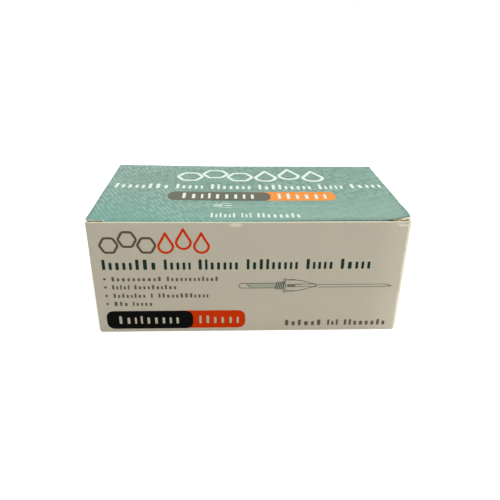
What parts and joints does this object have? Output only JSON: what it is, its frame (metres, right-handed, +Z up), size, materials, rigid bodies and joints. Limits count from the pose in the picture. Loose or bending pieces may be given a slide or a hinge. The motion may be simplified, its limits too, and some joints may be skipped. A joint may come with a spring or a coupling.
{
  "type": "carton of blood collection needles",
  "caption": "Printed folding carton with a slit-locked tuck lid on its back crease, packed with layers of sealed cased blood collection needles.",
  "frame": {"origin": "middle of the carton's base, on the surface that it stands on", "axes": "+X along the carton's width to the right, +Y from the front wall to the back wall, +Z up"},
  "size_m": [0.148, 0.082, 0.0619],
  "materials": {
    "printed_board": "printed, satin varnish",
    "lid_board": "printed, satin varnish",
    "needle_case": "moulded, satin"
  },
  "bodies": {
    "carton": {"carton": "printed_board", "needles_layer_1": "needle_case", "needles_layer_2": "needle_case", "needles_layer_3": "needle_case", "needles_layer_4": "needle_case", "needles_layer_5": "needle_case", "needles_layer_6": "needle_case", "needles_layer_7": "needle_case"},
    "lid": {"lid": "lid_board"}
  },
  "joints": [
    {"name": "lid_hinge", "type": "hinge", "parent": "carton", "child": "lid", "pos_m": [0, 0.041, 0.06], "axis": [-1, 0, 0], "range_deg": [0, 180]}
  ]
}
